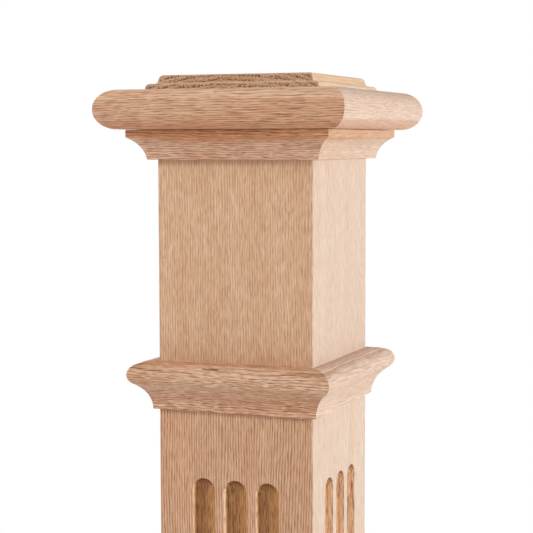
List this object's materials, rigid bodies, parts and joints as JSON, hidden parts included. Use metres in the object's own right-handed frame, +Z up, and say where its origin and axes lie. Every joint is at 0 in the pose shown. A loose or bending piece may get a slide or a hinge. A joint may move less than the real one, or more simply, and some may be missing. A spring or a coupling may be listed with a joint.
{
  "type": "box newel post",
  "caption": "Hollow square newel post in raw red oak, with a fluted shaft, moulded neck, rounded cap with a raised top plate, and a plain plinth.",
  "frame": {"origin": "middle of the post's foot, on the floor", "axes": "+Z up along the post, -Y the front face, +X the right face"},
  "size_m": [0.2008, 0.2008, 1.2192],
  "materials": {
    "oak_shaft": "raw planed red oak, grain upright",
    "oak_cap": "raw sanded red oak, grain along each rail",
    "oak_moulding": "raw moulded red oak, grain along each piece",
    "oak_top_plate": "raw red oak, end grain at the front and back",
    "oak_plinth": "raw planed red oak, grain upright"
  },
  "bodies": {
    "root": {"shaft_board_front": "oak_shaft", "shaft_board_right": "oak_shaft", "shaft_board_back": "oak_shaft", "shaft_board_left": "oak_shaft", "cap_rail_front": "oak_cap", "cap_rail_right": "oak_cap", "cap_rail_back": "oak_cap", "cap_rail_left": "oak_cap", "cove_moulding_front": "oak_moulding", "cove_moulding_right": "oak_moulding", "cove_moulding_back": "oak_moulding", "cove_moulding_left": "oak_moulding", "neck_moulding_front": "oak_moulding", "neck_moulding_right": "oak_moulding", "neck_moulding_back": "oak_moulding", "neck_moulding_left": "oak_moulding", "base_moulding_front": "oak_moulding", "base_moulding_right": "oak_moulding", "base_moulding_back": "oak_moulding", "base_moulding_left": "oak_moulding", "plinth_board_front": "oak_plinth", "plinth_board_right": "oak_plinth", "plinth_board_back": "oak_plinth", "plinth_board_left": "oak_plinth", "cap_top_plate": "oak_top_plate"}
  },
  "joints": []
}
